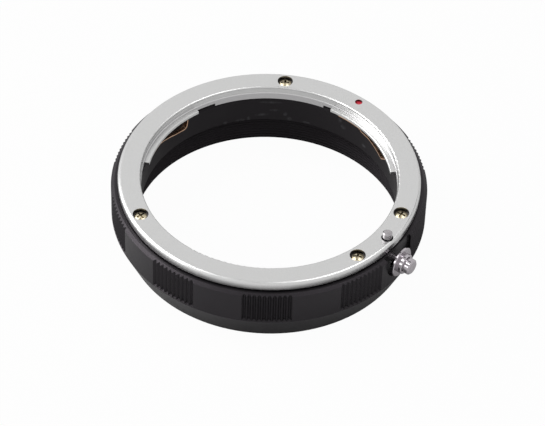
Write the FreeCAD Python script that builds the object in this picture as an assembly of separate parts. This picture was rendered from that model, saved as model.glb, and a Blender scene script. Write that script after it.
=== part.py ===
import FreeCAD, Part
import math
import os

# Reverse lens protection ring: a knurled barrel with a filter thread at the bottom and a
# three tab bayonet ring screwed on top. Millimetres, +Z out of the bayonet, z = 0 at the
# bottom rim, +X through the lock pin and the release knob. Angles are in degrees.

V = FreeCAD.Vector
UP = V(0, 0, 1)
OUT = V(1, 0, 0)
CENTRE = V(0, 0, 0)

# Throat of the bayonet. Every radius of the bayonet, the bore and the grip is set from it.
throat_r = 27.0
throat_round = 0.4

# Heights above the bottom rim
mount_height = 16.3
flange_thickness = 1.75
neck_height = 0.4

# Filter thread at the bottom
thread_step = 1.6
thread_length = 6.94
rim_width = 1.8
rim_chamfer = 0.15

# Bayonet ring
flange_width = 4.75
flange_edge_round = 0.75
spigot_step = 0.15
spigot_wall = 1.25
spigot_length = 3.1
spigot_side_clearance = 0.05
spigot_end_clearance = 0.05
tab_width = 1.3
tab_top_drop = 1.65
tab_thickness = 0.8
tab_edge = 0.12
gap_before_tab = 10.5
gap_after_tab = 5.0

# Tabs, each as start and span
tabs = [
    (43.4, 52.5),
    (162.9, 43.5),
    (281.4, 48.0),
]

# Bore of the barrel below the bayonet ring
bore_step = 0.1
ledge_bevel_width = 0.3
ledge_bevel_height = 0.45

# Outside of the barrel
neck_inset = 0.35
grip_overhang = 1.45
grip_bottom_z = 6.5
grip_chamfer_width = 0.75
grip_chamfer_height = 0.45

# Knurled groups
group_count = 10
groove_count = 10
groove_pitch = 1.8
groove_depth = 0.5
groove_width = 1.08
groove_floor_width = 0.12
groove_bottom_gap = 0.1
groove_run_out = 0.35

# Leaf springs under the tabs, each as angles from its tip to the end of its foot with how
# far it hangs there, as a share of the bow
springs = [
    [(54.5, 0.04), (59.3, 0.79), (71.3, 0.27), (77.0, 0.21), (78.3, 0), (91.4, 0)],
    [(169.2, 0.04), (170.0, 1.0), (177.6, 0.77), (190.0, 0), (200.4, 0)],
    [(289.6, 0.04), (290.6, 0.9), (299.0, 0.66), (312.0, 0), (323.4, 0)],
]
spring_bow = 2.42
spring_bend_r = 0.9
spring_thickness = 0.2
spring_inset = 0.1
spring_width = 0.95
spring_foot_width = 2.25
spring_foot_flat = 0.8

# Screws that hold the bayonet ring
screw_circle_step = 2.3
screw_angles = [-15.5, 15.2, 120.0, 241.6]
screw_cross_angles = [41.0, 82.0, 5.0, 14.0]
screw_shank_r = 0.85
screw_length = 4.4
screw_head_r = 1.33
screw_head_height = 0.75
screw_head_edge = 0.35
screw_head_sink = 0.3
screw_pocket_r = 1.65
screw_thread_clearance = 0.02
screw_hole_clearance = 0.1
cross_length = 1.8
cross_width = 0.42
cross_depth = 0.6

# Lock pin and its spring
pin_circle_step = 3.1
pin_tip_r = 1.0
pin_tip_chamfer = 0.22
pin_rise = 1.5
pin_hole_clearance = 0.24
pin_body_r = 1.45
pin_body_length = 4.2
pin_stop_gap = 0.02
pin_bore_clearance = 0.05
pin_travel = 1.6
coil_room = 2.73
coil_wire_r = 0.1
coil_gap = 0.15
coil_turns = 2.5

# Release knob, a sleeve on a screw that runs into the lock pin
knob_drop = 4.75
knob_nose_r = 0.9
knob_nose_depth = 0.25
slot_clearance = 0.05
knob_gap = 0.45
knob_flange_r = 3.25
knob_flange_thickness = 0.55
knob_flange_edge = 0.15
knob_collar_r = 2.2
knob_collar_length = 1.1
knob_collar_edge = 0.18
knob_screw_r = 0.6
knob_screw_depth = 1.0
knob_screw_clearance = 0.02
knob_neck_r = 1.45
knob_neck_length = 0.3
knob_tip_r = 1.7
knob_tip_length = 1.15
knob_tip_chamfer = 0.3

# Pocket round the release knob
pocket_wall = 0.3
pocket_side = 0.85
pocket_r = 4.55
pocket_rise = 0.45

# Index mark
index_circle_step = 2.79
index_angle = 86.6
index_r = 0.8
index_depth = 0.75
index_fill = 0.25

# Sizes that follow from the ones above
flange_r = throat_r + flange_width
flange_seat_z = mount_height - flange_thickness
spigot_inner_r = throat_r - spigot_step
spigot_r = spigot_inner_r + spigot_wall
spigot_bottom_z = mount_height - spigot_length
tab_r = throat_r - tab_width
tab_top_z = mount_height - tab_top_drop
tab_bottom_z = tab_top_z - tab_thickness
socket_r = spigot_r + spigot_side_clearance
ledge_z = spigot_bottom_z - spigot_end_clearance
bore_r = throat_r - bore_step
ledge_r = bore_r + ledge_bevel_width
pad_top_z = tab_bottom_z - spring_thickness
neck_r = flange_r - neck_inset
shoulder_z = flange_seat_z - neck_height
grip_r = flange_r + grip_overhang
thread_r = throat_r + thread_step
rim_r = thread_r + rim_width
spring_r = tab_r + spring_inset
spring_outer_r = spring_r + spring_width
screw_circle_r = throat_r + screw_circle_step
screw_head_top_z = mount_height - screw_head_sink
screw_seat_z = screw_head_top_z - screw_head_height
screw_tip_z = screw_seat_z - screw_length
pin_circle_r = throat_r + pin_circle_step
pin_bore_r = pin_body_r + pin_bore_clearance
pin_top_z = mount_height + pin_rise
pin_body_top_z = flange_seat_z - pin_stop_gap
pin_body_bottom_z = pin_body_top_z - pin_body_length
pin_bore_floor_z = pin_body_bottom_z - coil_room
pocket_floor_x = pin_circle_r + pin_bore_r + pocket_wall
knob_z = mount_height - knob_drop
knob_nose_x = pin_circle_r + pin_body_r - knob_nose_depth
knob_screw_end_x = pin_circle_r - knob_screw_depth
knob_back_x = grip_r + knob_gap
knob_front_x = knob_back_x + knob_flange_thickness + knob_collar_length
cutter_reach = 2.0


def at_angle(shape, angle):
    turned = shape.copy()
    turned.rotate(CENTRE, UP, angle)
    return turned


def section(points):
    corners = [V(r, 0, z) for r, z in points]
    return Part.Face(Part.makePolygon(corners + [corners[0]]))


def ring_part(points):
    return section(points).revolve(CENTRE, UP, 360)


def sector(points, start, span):
    return at_angle(section(points).revolve(CENTRE, UP, span), start)


def post(r, bottom_z, top_z, circle_r, angle):
    return at_angle(Part.makeCylinder(r, top_z - bottom_z, V(circle_r, 0, bottom_z), UP), angle)


def spindle(points):
    # A solid turned about the axis of the release knob, from points (x, r).
    corners = [V(x, 0, r) for x, r in points]
    face = Part.Face(Part.makePolygon(corners + [corners[0]]))
    turned = face.revolve(CENTRE, OUT, 360)
    turned.translate(V(0, 0, knob_z))
    return turned


def barrel_blank():
    outline = [
        (thread_r, 0),
        (rim_r - rim_chamfer, 0),
        (rim_r, rim_chamfer),
        (grip_r, grip_bottom_z),
        (grip_r, shoulder_z - grip_chamfer_height),
        (grip_r - grip_chamfer_width, shoulder_z),
        (neck_r, shoulder_z),
        (neck_r, flange_seat_z),
        (socket_r, flange_seat_z),
        (socket_r, ledge_z),
        (ledge_r, ledge_z),
        (bore_r, ledge_z - ledge_bevel_height),
        (bore_r, thread_length),
        (thread_r, thread_length),
    ]
    return ring_part(outline)


def spring_pads():
    # Raised pads in the socket that clamp the feet of the leaf springs under the ring.
    root_z = ledge_z - ledge_bevel_height
    root_r = socket_r + spigot_side_clearance
    outline = [
        (ledge_r, root_z),
        (root_r, root_z),
        (root_r, pad_top_z),
        (ledge_r, pad_top_z),
    ]
    pads = []
    for spring in springs:
        start = spring[-2][0] + spring_foot_flat
        pads.append(sector(outline, start, spring[-1][0] - start))
    return pads


def knurl_groove():
    # One groove at angle 0: a trapezium across, with a ramp where the tool ran out.
    floor_r = grip_r - groove_depth
    outer_r = grip_r + groove_depth
    floor_half = groove_floor_width / 2
    outer_half = groove_width - floor_half
    end_z = grip_bottom_z + groove_bottom_gap
    corners = [
        V(floor_r, -floor_half, 0),
        V(outer_r, -outer_half, 0),
        V(outer_r, outer_half, 0),
        V(floor_r, floor_half, 0),
    ]
    bar = Part.Face(Part.makePolygon(corners + [corners[0]])).extrude(V(0, 0, mount_height))
    side = section([
        (floor_r, end_z + groove_run_out),
        (outer_r, end_z - groove_run_out),
        (outer_r, mount_height),
        (floor_r, mount_height),
    ])
    side.translate(V(0, -groove_width, 0))
    return bar.common(side.extrude(V(0, 2 * groove_width, 0)))


def knurl_grooves():
    groove = knurl_groove()
    group_step = 360.0 / group_count
    grooves = []
    for group in range(group_count):
        for index in range(groove_count):
            offset = (index - (groove_count - 1) / 2) * groove_pitch
            grooves.append(at_angle(groove, group_step * (group + 0.5) + offset))
    return grooves


def knob_pocket():
    # Milled in from the side with a large cutter and open at the top.
    reach = grip_r + cutter_reach - pocket_floor_x
    round_end = V(pocket_floor_x, pocket_side, knob_z + pocket_rise)
    height = mount_height - round_end.z
    corner = round_end - V(0, pocket_r, 0)
    return Part.makeCylinder(pocket_r, reach, round_end, OUT).fuse(
        Part.makeBox(reach, 2 * pocket_r, height, corner))


def stem_slot():
    # Upright slot from the pin bore to the pocket, round at both ends.
    r = knob_nose_r + slot_clearance
    reach = pocket_floor_x + cutter_reach - pin_circle_r
    top = Part.makeCylinder(r, reach, V(pin_circle_r, 0, knob_z), OUT)
    bottom = Part.makeCylinder(r, reach, V(pin_circle_r, 0, knob_z - pin_travel), OUT)
    middle = Part.makeBox(reach, 2 * r, pin_travel, V(pin_circle_r, -r, knob_z - pin_travel))
    return top.fuse([bottom, middle])


def make_barrel():
    blank = barrel_blank().fuse(spring_pads()).removeSplitter()
    pin_bore = post(pin_bore_r, pin_bore_floor_z, mount_height, pin_circle_r, 0)
    hole_r = screw_shank_r + screw_thread_clearance
    hole_floor_z = screw_tip_z - screw_thread_clearance
    holes = [post(hole_r, hole_floor_z, mount_height, screw_circle_r, a) for a in screw_angles]
    bored = blank.cut([pin_bore, stem_slot(), knob_pocket()] + holes)
    return bored.cut(knurl_grooves())


def round_corner(centre_r, centre_z, r, outward):
    # A quarter arc at the top of a wall, from the wall to the top face.
    side = r if outward else -r
    middle = side * math.sqrt(0.5)
    return Part.Arc(
        V(centre_r + side, 0, centre_z),
        V(centre_r + middle, 0, centre_z + r * math.sqrt(0.5)),
        V(centre_r, 0, centre_z + r)).toShape()


def joined(points):
    corners = [V(r, 0, z) for r, z in points]
    return [Part.makeLine(a, b) for a, b in zip(corners, corners[1:])]


def ring_plate():
    # Flange and throat, with the outer edge and the edge of the throat rounded.
    outer_z = mount_height - flange_edge_round
    throat_z = mount_height - throat_round
    outer = joined([
        (throat_r, throat_z),
        (throat_r, tab_top_z + spigot_step),
        (spigot_inner_r, tab_top_z),
        (spigot_inner_r, tab_bottom_z),
        (spigot_r, tab_bottom_z),
        (spigot_r, flange_seat_z),
        (flange_r, flange_seat_z),
        (flange_r, outer_z),
    ])
    top = joined([
        (flange_r - flange_edge_round, mount_height),
        (throat_r + throat_round, mount_height),
    ])
    outer_arc = round_corner(flange_r - flange_edge_round, outer_z, flange_edge_round, True)
    throat_arc = round_corner(throat_r + throat_round, throat_z, throat_round, False)
    wire = Part.Wire(outer + [outer_arc] + top + [throat_arc])
    return Part.Face(wire).revolve(CENTRE, UP, 360)


def spigot_walls():
    # The spigot is left standing only between the tabs.
    outline = [
        (spigot_inner_r, spigot_bottom_z),
        (spigot_r, spigot_bottom_z),
        (spigot_r, tab_top_z),
        (spigot_inner_r, tab_top_z),
    ]
    walls = []
    for index, (start, span) in enumerate(tabs):
        following = tabs[(index + 1) % len(tabs)][0]
        wall_start = start + span + gap_after_tab
        wall_span = (following - gap_before_tab - wall_start) % 360
        walls.append(sector(outline, wall_start, wall_span))
    return walls


def bayonet_tabs():
    root_r = spigot_inner_r + tab_edge
    outline = [
        (tab_r + tab_edge, tab_bottom_z),
        (root_r, tab_bottom_z),
        (root_r, tab_top_z),
        (tab_r + tab_edge, tab_top_z),
        (tab_r, tab_top_z - tab_edge),
        (tab_r, tab_bottom_z + tab_edge),
    ]
    return [sector(outline, start, span) for start, span in tabs]


def make_bayonet_ring():
    solid = ring_plate().fuse(spigot_walls() + bayonet_tabs()).removeSplitter()
    pin_hole_r = pin_tip_r + pin_hole_clearance
    screw_hole_r = screw_shank_r + screw_hole_clearance
    cuts = [post(pin_hole_r, spigot_bottom_z, pin_top_z, pin_circle_r, 0)]
    index_z = mount_height - index_depth
    index_circle_r = throat_r + index_circle_step
    cuts.append(post(index_r, index_z, pin_top_z, index_circle_r, index_angle))
    for angle in screw_angles:
        cuts.append(post(screw_hole_r, spigot_bottom_z, pin_top_z, screw_circle_r, angle))
        cuts.append(post(screw_pocket_r, screw_seat_z, pin_top_z, screw_circle_r, angle))
    return solid.cut(cuts)


def bent_path(points, bend_r):
    # Straight runs joined by tangent arcs of one radius.
    edges = []
    last = points[0]
    for before, corner, after in zip(points, points[1:], points[2:]):
        back = (before - corner).normalize()
        ahead = (after - corner).normalize()
        half_turn = back.getAngle(ahead) / 2
        reach = bend_r / math.tan(half_turn)
        entry = corner + back * reach
        leave = corner + ahead * reach
        inward = (back + ahead).normalize()
        hub = corner + inward * (bend_r / math.sin(half_turn))
        edges.append(Part.makeLine(last, entry))
        edges.append(Part.Arc(entry, hub - inward * bend_r, leave).toShape())
        last = leave
    edges.append(Part.makeLine(last, points[-1]))
    return Part.Wire(edges)


def make_leaf_spring(bends):
    # A flat strip bent to a bow, cut to the curve of the tab, with a wider clamped foot.
    tip = bends[0][0]
    foot_end = bends[-1][0]
    middle = (tip + foot_end) / 2
    half = spring_thickness / 2
    points = []
    for angle, hang in reversed(bends):
        y = spring_r * math.sin(math.radians(angle - middle))
        points.append(V(0, y, tab_bottom_z - half - hang * spring_bow))
    path = bent_path(points, spring_bend_r)
    start = points[0]
    far = spring_outer_r + cutter_reach
    corners = [start + V(x, 0, z) for x, z in ((0, -half), (far, -half), (far, half), (0, half))]
    strip = path.makePipeShell([Part.makePolygon(corners + [corners[0]])], True, False)
    sleeve_bottom_z = pad_top_z - spring_bow - spring_bend_r
    sleeve = ring_part([
        (spring_r, sleeve_bottom_z),
        (spring_outer_r, sleeve_bottom_z),
        (spring_outer_r, flange_seat_z),
        (spring_r, flange_seat_z),
    ])
    flat_start = bends[-2][0] + spring_foot_flat
    foot_r = spring_r + spring_foot_width
    foot = sector([
        (spring_r, pad_top_z),
        (foot_r, pad_top_z),
        (foot_r, tab_bottom_z),
        (spring_r, tab_bottom_z),
    ], flat_start, foot_end - flat_start)
    return at_angle(strip, middle).common(sleeve).fuse(foot).removeSplitter()


def make_mount_screw(angle, cross_angle):
    edge_z = screw_seat_z + screw_head_edge
    body = joined([
        (0, screw_tip_z),
        (screw_shank_r / 2, screw_tip_z),
        (screw_shank_r, screw_tip_z + screw_shank_r / 2),
        (screw_shank_r, screw_seat_z),
        (screw_head_r, screw_seat_z),
        (screw_head_r, edge_z),
    ])
    rise = screw_head_top_z - edge_z
    dome_r = (screw_head_r ** 2 + rise ** 2) / (2 * rise)
    half_r = screw_head_r / 2
    dome_middle_z = screw_head_top_z - dome_r + math.sqrt(dome_r ** 2 - half_r ** 2)
    dome_top = V(0, 0, screw_head_top_z)
    dome = Part.Arc(V(screw_head_r, 0, edge_z), V(half_r, 0, dome_middle_z), dome_top).toShape()
    axis_line = Part.makeLine(dome_top, V(0, 0, screw_tip_z))
    screw = Part.Face(Part.Wire(body + [dome, axis_line])).revolve(CENTRE, UP, 360)
    corner = V(-cross_length / 2, -cross_width / 2, screw_head_top_z - cross_depth)
    slot = at_angle(Part.makeBox(cross_length, cross_width, 2 * cross_depth, corner), cross_angle)
    screw = screw.cut([slot, at_angle(slot, 90)])
    screw.translate(V(screw_circle_r, 0, 0))
    return at_angle(screw, angle)


def make_lock_pin():
    pin = ring_part([
        (0, pin_body_bottom_z),
        (pin_body_r, pin_body_bottom_z),
        (pin_body_r, pin_body_top_z),
        (pin_tip_r, pin_body_top_z),
        (pin_tip_r, pin_top_z - pin_tip_chamfer),
        (pin_tip_r - pin_tip_chamfer, pin_top_z),
        (0, pin_top_z),
    ])
    pin.translate(V(pin_circle_r, 0, 0))
    spot_r = knob_nose_r + knob_screw_clearance
    spot_face = Part.makeCylinder(spot_r, cutter_reach, V(knob_nose_x, 0, knob_z), OUT)
    hole_r = knob_screw_r + knob_screw_clearance
    hole = Part.makeCylinder(hole_r, grip_r, V(knob_screw_end_x, 0, knob_z), OUT)
    return pin.cut([spot_face, hole])


def make_pin_spring():
    height = coil_room - 2 * coil_wire_r
    coil_r = pin_bore_r - coil_gap - coil_wire_r
    helix = Part.makeHelix(height / coil_turns, height, coil_r)
    wire = Part.makeCircle(coil_wire_r, V(coil_r, 0, 0), V(0, 1, 0))
    coil = Part.Wire(helix.Edges).makePipeShell([Part.Wire([wire])], True, True)
    coil.translate(V(pin_circle_r, 0, pin_bore_floor_z + coil_wire_r))
    return coil


def make_release_knob():
    flange_front = knob_back_x + knob_flange_thickness
    hole_r = knob_screw_r + knob_screw_clearance
    return spindle([
        (knob_nose_x, hole_r),
        (knob_nose_x, knob_nose_r),
        (knob_back_x, knob_nose_r),
        (knob_back_x, knob_flange_r - knob_flange_edge),
        (knob_back_x + knob_flange_edge, knob_flange_r),
        (flange_front - knob_flange_edge, knob_flange_r),
        (flange_front, knob_flange_r - knob_flange_edge),
        (flange_front, knob_collar_r),
        (knob_front_x - knob_collar_edge, knob_collar_r),
        (knob_front_x, knob_collar_r - knob_collar_edge),
        (knob_front_x, hole_r),
    ])


def make_knob_screw():
    neck_front = knob_front_x + knob_neck_length
    tip_front = neck_front + knob_tip_length
    return spindle([
        (knob_screw_end_x, 0),
        (knob_screw_end_x, knob_screw_r),
        (knob_front_x, knob_screw_r),
        (knob_front_x, knob_neck_r),
        (neck_front, knob_neck_r),
        (neck_front, knob_tip_r),
        (tip_front - knob_tip_chamfer, knob_tip_r),
        (tip_front, knob_tip_r - knob_tip_chamfer),
        (tip_front, 0),
    ])


def make_index_dot():
    bottom_z = mount_height - index_depth
    circle_r = throat_r + index_circle_step
    return post(index_r, bottom_z, bottom_z + index_fill, circle_r, index_angle)


def write_node(name, shape):
    shape.exportStep("parts/" + name + ".step")
    print(name, shape.isValid(), len(shape.Solids), round(shape.Volume, 3))


os.makedirs("parts", exist_ok=True)
write_node("barrel", make_barrel())
write_node("bayonet_ring", make_bayonet_ring())
for number, spring in enumerate(springs, 1):
    write_node("leaf_spring_%d" % number, make_leaf_spring(spring))
for number, (angle, cross) in enumerate(zip(screw_angles, screw_cross_angles), 1):
    write_node("mount_screw_%d" % number, make_mount_screw(angle, cross))
write_node("index_dot", make_index_dot())
write_node("lock_pin", make_lock_pin())
write_node("pin_spring", make_pin_spring())
write_node("release_knob", make_release_knob())
write_node("knob_screw", make_knob_screw())
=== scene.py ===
import math

import bpy
from mathutils import Matrix, Vector


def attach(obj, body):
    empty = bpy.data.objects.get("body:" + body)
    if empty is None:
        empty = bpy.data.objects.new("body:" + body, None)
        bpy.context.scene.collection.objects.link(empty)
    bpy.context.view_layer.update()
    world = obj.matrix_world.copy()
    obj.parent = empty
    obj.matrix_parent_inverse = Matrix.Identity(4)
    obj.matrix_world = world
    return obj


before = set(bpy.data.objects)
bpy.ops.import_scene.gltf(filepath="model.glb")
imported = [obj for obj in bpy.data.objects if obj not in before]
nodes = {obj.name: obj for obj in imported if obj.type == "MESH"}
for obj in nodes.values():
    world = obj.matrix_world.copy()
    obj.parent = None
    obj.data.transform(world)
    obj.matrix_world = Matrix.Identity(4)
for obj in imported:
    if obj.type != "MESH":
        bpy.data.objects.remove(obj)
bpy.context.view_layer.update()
scene = bpy.context.scene


# Barrel.
# One turned and milled aluminium body, bead blasted and anodised black: satin outside, matt
# in the bore, which has picked up a few pale rubs. All other pieces are fixed to it.
bore_edge_r = 0.03
broken_edge_r = 0.0001
satin_dark, satin_light = (0.0065, 0.0059, 0.0068, 1), (0.0095, 0.0086, 0.01, 1)
matt_dark, matt_light = (0.002, 0.0018, 0.0019, 1), (0.004, 0.0036, 0.0038, 1)
rub_grey = (0.06, 0.06, 0.063, 1)
# Each rub: angle in degrees, height, half its width in degrees and half its height.
rubs = [
    (126, 0.0120, 6.1, 0.0004), (147, 0.0072, 1.5, 0.0005), (140, 0.0071, 2.6, 0.0006),
    (136, 0.0073, 1.0, 0.0010), (130, 0.0084, 3.6, 0.0005), (124, 0.0097, 3.0, 0.0004),
    (119, 0.0088, 1.2, 0.0007), (117, 0.0076, 1.4, 0.0006), (115, 0.0065, 1.1, 0.0004),
    (134, 0.0063, 1.4, 0.0004), (109, 0.0074, 2.3, 0.0003), (92, 0.0114, 1.4, 0.0007),
    (90, 0.0100, 1.7, 0.0007), (77, 0.0084, 1.7, 0.0006),
]


def new_material(name):
    material = bpy.data.materials.new(name)
    material.use_nodes = True
    return material, material.node_tree


def feed(tree, socket, value):
    # Sets a number or a colour, or links what comes out of another node.
    if isinstance(value, (int, float, tuple)):
        socket.default_value = value
    else:
        tree.links.new(value, socket)


def add(tree, kind, **values):
    # A new node. Each value is one of its settings, or goes into the socket of that name.
    node = tree.nodes.new("ShaderNode" + kind)
    for key, value in values.items():
        if hasattr(node, key):
            setattr(node, key, value)
        else:
            feed(tree, node.inputs[key.replace("_", " ")], value)
    return node


def set_surface(tree, **values):
    surface = tree.nodes["Principled BSDF"]
    for key, value in values.items():
        feed(tree, surface.inputs[key.replace("_", " ")], value)


def cover(material, *names):
    for name in names:
        nodes[name].data.materials.clear()
        nodes[name].data.materials.append(material)


def object_place(tree):
    return add(tree, "TexCoord").outputs["Object"]


def noise(tree, place, size, detail=2.0, roughness=0.5):
    # Noise whose features are about size metres across.
    node = add(tree, "TexNoise", Vector=place, Scale=1 / size, Detail=detail, Roughness=roughness)
    return node.outputs["Fac"]


def ramp(tree, source, low, high, start=0.3, end=0.7):
    # Runs from the colour low at start to the colour high at end.
    node = add(tree, "ValToRGB", Fac=source)
    node.color_ramp.elements[0].position = start
    node.color_ramp.elements[0].color = low
    node.color_ramp.elements[1].position = end
    node.color_ramp.elements[1].color = high
    return node.outputs["Color"]


def spread(tree, source, low, high, start=0.3, end=0.7):
    # Turns what runs from start to end into numbers from low to high.
    node = add(tree, "MapRange", Value=source, From_Min=start, From_Max=end,
               To_Min=low, To_Max=high)
    return node.outputs["Result"]


def maths(tree, operation, first, second=0.0):
    node = add(tree, "Math", operation=operation)
    feed(tree, node.inputs[0], first)
    feed(tree, node.inputs[1], second)
    return node.outputs[0]


def split(tree, place):
    # x, y and z of a place, and its distance from the axis of the ring.
    x, y, z = add(tree, "SeparateXYZ", Vector=place).outputs
    square = maths(tree, "ADD", maths(tree, "MULTIPLY", x, x), maths(tree, "MULTIPLY", y, y))
    return x, y, z, maths(tree, "SQRT", square)


def between(tree, source, low, high):
    # 1 where source lies between low and high, else 0.
    above = maths(tree, "GREATER_THAN", source, low)
    below = maths(tree, "LESS_THAN", source, high)
    return maths(tree, "MULTIPLY", above, below)


def blend(tree, share, first, second):
    # The colour first where share is 0, second where it is 1.
    node = add(tree, "Mix", data_type="RGBA")
    for number, value in ((0, share), (6, first), (7, second)):
        feed(tree, node.inputs[number], value)
    return node.outputs[2]


def bump(tree, height, depth, strength, **normal):
    # Dents of at most depth metres. Normal says which normal they dent, if not the mesh's.
    node = add(tree, "Bump", Height=height, Distance=depth, Strength=strength, **normal)
    return node.outputs["Normal"]


def smudge(tree, turn, height, patch):
    # A soft oval patch on a round wall: 1 in its middle, 0 at its edge.
    angle, z, wide, tall = patch
    across = maths(tree, "SUBTRACT", turn, math.radians(angle))
    across = maths(tree, "DIVIDE", across, math.radians(wide))
    up = maths(tree, "DIVIDE", maths(tree, "SUBTRACT", height, z), tall)
    across = maths(tree, "MULTIPLY", across, across)
    up = maths(tree, "MULTIPLY", up, up)
    return spread(tree, maths(tree, "ADD", across, up), 1.0, 0.0, start=0.0, end=1.0)


black, tree = new_material("black_anodised")
place = object_place(tree)
cloud = noise(tree, place, size=0.004, detail=4)
x, y, z, from_axis = split(tree, place)
outside = maths(tree, "GREATER_THAN", from_axis, bore_edge_r)
satin = ramp(tree, cloud, satin_dark, satin_light, start=0.35, end=0.75)
matt = ramp(tree, cloud, matt_dark, matt_light, start=0.35, end=0.75)
turn = maths(tree, "ARCTAN2", y, x)
rubbed = 0.0
for rub in rubs:
    rubbed = maths(tree, "MAXIMUM", smudge(tree, turn, z, rub), rubbed)
scuffs = noise(tree, place, size=0.0007, detail=4, roughness=0.65)
scuffs = spread(tree, scuffs, low=0.1, high=1.0, start=0.35, end=0.65)
matt = blend(tree, maths(tree, "MULTIPLY", rubbed, scuffs), matt, rub_grey)
dull = spread(tree, outside, low=0.3, high=0.0, start=0.0, end=1.0)
grain = noise(tree, place, size=0.00006)
broken_edges = add(tree, "Bevel", samples=6, Radius=broken_edge_r)
set_surface(
    tree,
    Base_Color=blend(tree, outside, matt, satin),
    Roughness=maths(tree, "ADD", spread(tree, cloud, low=0.34, high=0.4), dull),
    Specular_IOR_Level=0.3,
    Specular_Tint=(1.0, 0.9, 1.0, 1),
    Normal=bump(tree, grain, depth=0.00001, strength=0.5, Normal=broken_edges.outputs["Normal"]),
)
cover(black, "barrel")


# Filter thread.
# The 58 mm thread of 0.75 mm pitch that is cut inside the bottom of the barrel, so it has
# the barrel's own black finish.
thread_pitch = 0.00075
thread_wall_r = 0.02863
thread_crest_r = 0.02832
thread_bottom_z = 0.0005
thread_top_z = 0.0064
thread_sides = 160
# The ridge rises from the wall over this many sides at each of its ends.
thread_run_out = thread_sides / 8
# Corners of the ridge: 0 on the wall or 1 on the crest, and the height.
thread_profile = [(0, -0.00030), (1, -0.00004), (1, 0.00004), (0, 0.00030)]

thread_turns = (thread_top_z - thread_bottom_z) / thread_pitch
thread_steps = int(thread_turns * thread_sides)
vertices = []
faces = []
for step in range(thread_steps + 1):
    angle = 2 * math.pi * step / thread_sides
    rise = min(1.0, min(step, thread_steps - step) / thread_run_out)
    middle_z = thread_bottom_z + thread_pitch * step / thread_sides
    for share, offset in thread_profile:
        r = thread_wall_r - share * rise * (thread_wall_r - thread_crest_r)
        vertices.append((r * math.cos(angle), r * math.sin(angle), middle_z + offset))
corners = len(thread_profile)
for step in range(thread_steps):
    for index in range(corners):
        following = (index + 1) % corners
        here = step * corners
        there = here + corners
        faces.append((here + index, here + following, there + following, there + index))
faces.append(tuple(range(corners)))
faces.append(tuple(reversed(range(thread_steps * corners, (thread_steps + 1) * corners))))
mesh = bpy.data.meshes.new("filter_thread")
mesh.from_pydata(vertices, [], faces)
mesh.update()
thread = bpy.data.objects.new("filter_thread", mesh)
scene.collection.objects.link(thread)
mesh.materials.append(black)
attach(thread, "body")


# Leaf springs.
# Three strips of bare phosphor bronze, bent to a bow under the tabs. Each is clamped by its
# wide foot between the barrel and the bayonet ring, and pulls a lens down on the flange.
bronze_dark, bronze_light = (0.5, 0.3, 0.19, 1), (0.72, 0.48, 0.33, 1)
bronze, tree = new_material("spring_bronze")
place = object_place(tree)
stain = noise(tree, place, size=0.0012, detail=4)
roll_marks = noise(tree, place, size=0.00012)
set_surface(
    tree,
    Base_Color=ramp(tree, stain, bronze_dark, bronze_light),
    Metallic=1.0,
    Roughness=spread(tree, stain, low=0.22, high=0.38),
    Normal=bump(tree, roll_marks, depth=0.000008, strength=0.4),
)
cover(bronze, "leaf_spring_1", "leaf_spring_2", "leaf_spring_3")


# Bayonet ring.
# One turned and milled ring with a satin chrome plate over a fine blasted grain. Four screws
# pull it down on the barrel.
silver_dark, silver_light = (0.54, 0.54, 0.537, 1), (0.61, 0.61, 0.607, 1)
# The counterbores get a painted shade and the spigot is darker than the flange: radii and heights
# of each.
counterbore_painted_shade, spigot_grey = (0.12, 0.115, 0.11, 1), (0.47, 0.465, 0.47, 1)
counterbore_r, counterbore_z = (0.02755, 0.03095), (0.0145, 0.01624)
spigot_r, spigot_top_z = (0.0266, 0.02695), 0.0149
# Where the round of each edge has its centre, and the middle of the flat between them.
flange_round_r, flange_round_z = 0.031, 0.01555
throat_round_r, throat_round_z = 0.0274, 0.0159
flat_middle_r = 0.0292
# A face is turned, not cut, if its own normal agrees with the exact one to this much.
turned_agreement = 0.9


def combine(tree, x, y, z):
    return add(tree, "CombineXYZ", X=x, Y=y, Z=z).outputs[0]


def vector_maths(tree, operation, output, *inputs):
    node = add(tree, "VectorMath", operation=operation)
    for socket, value in zip(node.inputs, inputs):
        feed(tree, socket, value)
    return node.outputs[output]


def turned_normal(tree, place):
    # The exact smooth normal of the turned flange, its two rounded edges and its walls. The
    # cut faces, which don't agree with it, keep the normal of the mesh.
    x, y, z, r = split(tree, place)
    outward = maths(tree, "MAXIMUM", maths(tree, "SUBTRACT", r, flange_round_r), 0.0)
    inward = maths(tree, "MINIMUM", maths(tree, "SUBTRACT", r, throat_round_r), 0.0)
    share = maths(tree, "DIVIDE", maths(tree, "ADD", outward, inward), r)
    outer = maths(tree, "GREATER_THAN", r, flat_middle_r)
    lower = maths(tree, "MULTIPLY", outer, flange_round_z - throat_round_z)
    up = maths(tree, "SUBTRACT", maths(tree, "SUBTRACT", z, throat_round_z), lower)
    up = maths(tree, "MAXIMUM", up, 0.0)
    x, y = maths(tree, "MULTIPLY", x, share), maths(tree, "MULTIPLY", y, share)
    exact = vector_maths(tree, "NORMALIZE", "Vector", combine(tree, x, y, up))
    facet = add(tree, "NewGeometry").outputs
    agree = vector_maths(tree, "DOT_PRODUCT", "Value", exact, facet["True Normal"])
    chosen = add(tree, "Mix", data_type="VECTOR")
    feed(tree, chosen.inputs[0], maths(tree, "GREATER_THAN", agree, turned_agreement))
    feed(tree, chosen.inputs[4], facet["Normal"])
    feed(tree, chosen.inputs[5], exact)
    return chosen.outputs[1]


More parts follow.
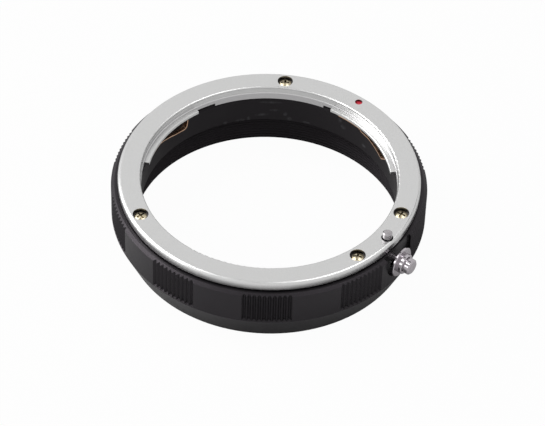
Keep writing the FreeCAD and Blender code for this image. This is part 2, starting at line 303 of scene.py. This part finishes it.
silver, tree = new_material("satin_silver")
place = object_place(tree)
grain = noise(tree, place, size=0.00012)
cloud = noise(tree, place, size=0.003, detail=3)
colour = ramp(tree, grain, silver_dark, silver_light, start=0.35, end=0.65)
z, from_axis = split(tree, place)[2:]
# Painted shade in the counterbores round the screw heads.
counterbore = between(tree, from_axis, *counterbore_r)
counterbore = maths(tree, "MULTIPLY", counterbore, between(tree, z, *counterbore_z))
colour = blend(tree, counterbore, colour, counterbore_painted_shade)
spigot = maths(tree, "LESS_THAN", z, spigot_top_z)
spigot = maths(tree, "MULTIPLY", between(tree, from_axis, *spigot_r), spigot)
set_surface(
    tree,
    Base_Color=blend(tree, spigot, colour, spigot_grey),
    Metallic=1.0,
    Roughness=spread(tree, cloud, low=0.31, high=0.33),
    Normal=bump(tree, grain, depth=0.000004, strength=0.5, Normal=turned_normal(tree, place)),
)
cover(silver, "bayonet_ring")


# Screws of the bayonet ring.
# Cross recess pan heads, yellow zinc plated steel, sunk in counterbores. The cross recess and the
# gap round each head get a painted shade from an occlusion mask.
zinc_dark, zinc_light = (0.42, 0.36, 0.24, 1), (0.62, 0.56, 0.42, 1)
recess_painted_shade = (0.05, 0.038, 0.02, 1)
recess_reach = 0.0005
zinc, tree = new_material("yellow_zinc")
stain = noise(tree, object_place(tree), size=0.0006, detail=3)
colour = ramp(tree, stain, zinc_dark, zinc_light, start=0.35, end=0.65)
# Painted shade: the occlusion node darkens the recess and the gap round the head.
hollow = add(tree, "AmbientOcclusion", samples=8, Distance=recess_reach)
recess = spread(tree, hollow.outputs["AO"], low=1.0, high=0.0, start=0.35, end=0.75)
set_surface(
    tree,
    Base_Color=blend(tree, recess, colour, recess_painted_shade),
    Metallic=1.0,
    Roughness=spread(tree, stain, low=0.24, high=0.4),
    Normal=bump(tree, stain, depth=0.00002, strength=0.3),
)
cover(zinc, "mount_screw_1", "mount_screw_2", "mount_screw_3", "mount_screw_4")


# Index mark.
# A drop of red gloss paint that fills a drilled dimple, so its surface is a little uneven.
paint_dark, paint_light = (0.5, 0.012, 0.03, 1), (0.68, 0.03, 0.06, 1)
paint, tree = new_material("red_paint")
ripple = noise(tree, object_place(tree), size=0.0005)
set_surface(
    tree,
    Base_Color=ramp(tree, ripple, paint_dark, paint_light),
    Roughness=0.25,
    Normal=bump(tree, ripple, depth=0.00003, strength=0.5),
)
cover(paint, "index_dot")


# Lock pin and its spring.
# A turned steel pin that slides in the barrel, with fine tool rings, on a coil of drawn
# spring wire.
steel_dark, steel_light = (0.3, 0.285, 0.295, 1), (0.42, 0.405, 0.415, 1)
wire_dark, wire_light = (0.33, 0.33, 0.34, 1), (0.5, 0.5, 0.51, 1)


def tool_rings(tree, place, along, scale, distortion):
    # Fine rings left by the lathe tool, one after the other along an axis.
    rings = add(tree, "TexWave", bands_direction=along, Vector=place, Scale=scale,
                Distortion=distortion)
    return rings.outputs["Fac"]


steel, tree = new_material("pin_steel")
place = object_place(tree)
cloud = noise(tree, place, size=0.0008)
rings = tool_rings(tree, place, along="Z", scale=4000.0, distortion=1.5)
set_surface(
    tree,
    Base_Color=ramp(tree, cloud, steel_dark, steel_light),
    Metallic=1.0,
    Roughness=spread(tree, cloud, low=0.22, high=0.34),
    Normal=bump(tree, rings, depth=0.000004, strength=0.4),
)
cover(steel, "lock_pin")

wire, tree = new_material("spring_steel")
cloud = noise(tree, object_place(tree), size=0.0004, detail=3)
set_surface(
    tree,
    Base_Color=ramp(tree, cloud, wire_dark, wire_light),
    Metallic=1.0,
    Roughness=0.3,
)
cover(wire, "pin_spring")


# Release knob.
# A bright plated sleeve with a thin wide flange, held by a screw with a turned head that
# runs through it into the lock pin.
knob_axis_z = 0.01155
nickel_dark, nickel_light = (0.36, 0.335, 0.355, 1), (0.48, 0.45, 0.475, 1)


def knob_normal(tree, place):
    # The round of the lathe: apart from its lean along the knob, the normal of the mesh is
    # turned to point straight away from the knob's own axis.
    y, z = add(tree, "SeparateXYZ", Vector=place).outputs[1:]
    away = combine(tree, 0.0, y, maths(tree, "SUBTRACT", z, knob_axis_z))
    away = vector_maths(tree, "NORMALIZE", "Vector", away)
    facet = add(tree, "NewGeometry")
    along = add(tree, "SeparateXYZ", Vector=facet.outputs["Normal"]).outputs[0]
    round_share = maths(tree, "SUBTRACT", 1.0, maths(tree, "MULTIPLY", along, along))
    round_share = maths(tree, "SQRT", maths(tree, "MAXIMUM", round_share, 0.0))
    round_part = add(tree, "VectorMath", operation="SCALE", Scale=round_share)
    feed(tree, round_part.inputs[0], away)
    end_part = combine(tree, along, 0.0, 0.0)
    return vector_maths(tree, "ADD", "Vector", round_part.outputs["Vector"], end_part)


nickel, tree = new_material("bright_nickel")
place = object_place(tree)
cloud = noise(tree, place, size=0.0006, detail=3)
rings = tool_rings(tree, place, along="X", scale=3000.0, distortion=1.0)
set_surface(
    tree,
    Base_Color=ramp(tree, cloud, nickel_dark, nickel_light),
    Metallic=1.0,
    Roughness=spread(tree, cloud, low=0.08, high=0.14),
    Normal=bump(tree, rings, depth=0.000003, strength=0.3, Normal=knob_normal(tree, place)),
)
cover(nickel, "release_knob", "knob_screw")


# Table and backdrop.
# A plain white sheet that shows the ring's soft shadow, in a white room. Reflections see the
# sheet darker round the foot of the ring: a painted shadow.
floor_size = 3.0
floor_white = 0.97
room_light = 0.4
# How white reflections see the sheet: a painted shadow near the foot of the ring, lighter further
# away from it.
foot_r = 0.033
painted_foot_shadow, foot_light = 0.08, 0.62
foot_near, foot_far = 0.004, 0.014

bpy.ops.mesh.primitive_plane_add(size=floor_size, location=(0, 0, 0))
floor = bpy.context.object
floor.name = "floor"
sheet, tree = new_material("white_sheet")
set_surface(tree, Base_Color=(0.5, 0.5, 0.5, 1), Roughness=0.9)
glow = add(tree, "Emission", Strength=1.0)
rays = add(tree, "LightPath").outputs
seen = maths(tree, "MAXIMUM", rays["Is Camera Ray"], rays["Is Transmission Ray"])
seen = maths(tree, "MULTIPLY", seen, floor_white)
from_middle = vector_maths(tree, "LENGTH", "Value", object_place(tree))
from_foot = maths(tree, "ABSOLUTE", maths(tree, "SUBTRACT", from_middle, foot_r))
# Painted shadow on the sheet round the foot of the ring, seen only in reflections.
foot = spread(tree, from_foot, painted_foot_shadow, foot_light, start=foot_near, end=foot_far)
mirrored = maths(tree, "MULTIPLY", rays["Is Glossy Ray"], foot)
mix = add(tree, "MixShader", Fac=maths(tree, "MAXIMUM", seen, mirrored))
feed(tree, mix.inputs[1], tree.nodes["Principled BSDF"].outputs["BSDF"])
feed(tree, mix.inputs[2], glow.outputs["Emission"])
feed(tree, tree.nodes["Material Output"].inputs["Surface"], mix.outputs["Shader"])
floor.data.materials.append(sheet)

world = bpy.data.worlds.new("studio")
scene.world = world
world.use_nodes = True
tree = world.node_tree
soft = tree.nodes["Background"]
soft.inputs["Color"].default_value = (1, 1, 1, 1)
soft.inputs["Strength"].default_value = room_light
white = add(tree, "Background", Color=(1, 1, 1, 1), Strength=1.0)
rays = add(tree, "LightPath").outputs
seen = maths(tree, "MAXIMUM", rays["Is Camera Ray"], rays["Is Glossy Ray"])
seen = maths(tree, "MAXIMUM", seen, rays["Is Transmission Ray"])
mix = add(tree, "MixShader", Fac=seen)
feed(tree, mix.inputs[1], soft.outputs["Background"])
feed(tree, mix.inputs[2], white.outputs["Background"])
feed(tree, tree.nodes["World Output"].inputs["Surface"], mix.outputs["Shader"])


# Lamps.
# Soft boxes: a large one high at the left, a larger one low at the left, a smaller one high
# at the right and a small weak one low at the front left.
camera_heading = math.radians(35.4)
lamp_distance = 0.9


def from_camera(right, away, up):
    # A place given as the camera sees it: to the right, away from it, and up.
    cos, sin = math.cos(camera_heading), math.sin(camera_heading)
    return Vector((right * cos - away * sin, right * sin + away * cos, up))


def soft_box(name, direction, size, power):
    data = bpy.data.lights.new(name, "AREA")
    data.shape = "SQUARE"
    data.size = size
    data.energy = power
    lamp = bpy.data.objects.new(name, data)
    lamp.location = direction.normalized() * lamp_distance
    lamp.rotation_euler = lamp.location.to_track_quat("Z", "Y").to_euler()
    scene.collection.objects.link(lamp)


soft_box("box_left", from_camera(-0.6, 0.17, 0.79), size=0.5, power=4.2)
soft_box("box_low_left", from_camera(-0.92, 0.2, 0.25), size=0.6, power=5.0)
soft_box("box_right", from_camera(0.33, 0.1, 0.93), size=0.32, power=1.4)
soft_box("box_front_left", from_camera(-0.81, -0.42, 0.41), size=0.2, power=0.6)


# Black cards.
# Seen only in reflections: one over the ring, one at its front left and one at its right
# give the bright metal its dark sides.
card_black, tree = new_material("card_black")
set_surface(tree, Base_Color=(0.01, 0.01, 0.01, 1), Specular_IOR_Level=0.0)


def black_card(name, centre, size, across):
    # A card that faces the ring. size is its width and height, and its width runs across.
    facing = (-centre).normalized()
    sideways = (across - facing * across.dot(facing)).normalized()
    turn = Matrix((sideways, facing.cross(sideways), facing)).transposed()
    bpy.ops.mesh.primitive_plane_add(size=1.0)
    card = bpy.context.object
    card.name = name
    card.scale = (size[0], size[1], 1.0)
    card.location = centre
    card.rotation_euler = turn.to_euler()
    card.data.materials.append(card_black)
    card.visible_camera = False
    card.visible_diffuse = False
    card.visible_shadow = False
    card.visible_transmission = False


black_card("card_above", from_camera(-0.03, 0.05, 0.6), (0.09, 0.6), from_camera(1, 0, 0))
black_card("card_front_left", from_camera(-0.41, -0.13, 0.43), (0.1, 0.2),
           from_camera(0.5, 1, 0))
black_card("card_right", from_camera(0.41, 0.29, 0.34), (0.16, 0.16), from_camera(1, -1, 0))


# Camera.
# A long lens 600 mm away, 44 degrees above the table and a little tilted.
camera_data = bpy.data.cameras.new("camera")
camera_data.lens = 189.4
camera_data.sensor_width = 36.0
camera = bpy.data.objects.new("camera", camera_data)
camera.location = (0.24943, -0.35098, 0.43415)
camera.rotation_euler = [math.radians(angle) for angle in (45.074, -1.369, 36.646)]
scene.collection.objects.link(camera)
scene.camera = camera

scene.view_settings.view_transform = "Standard"
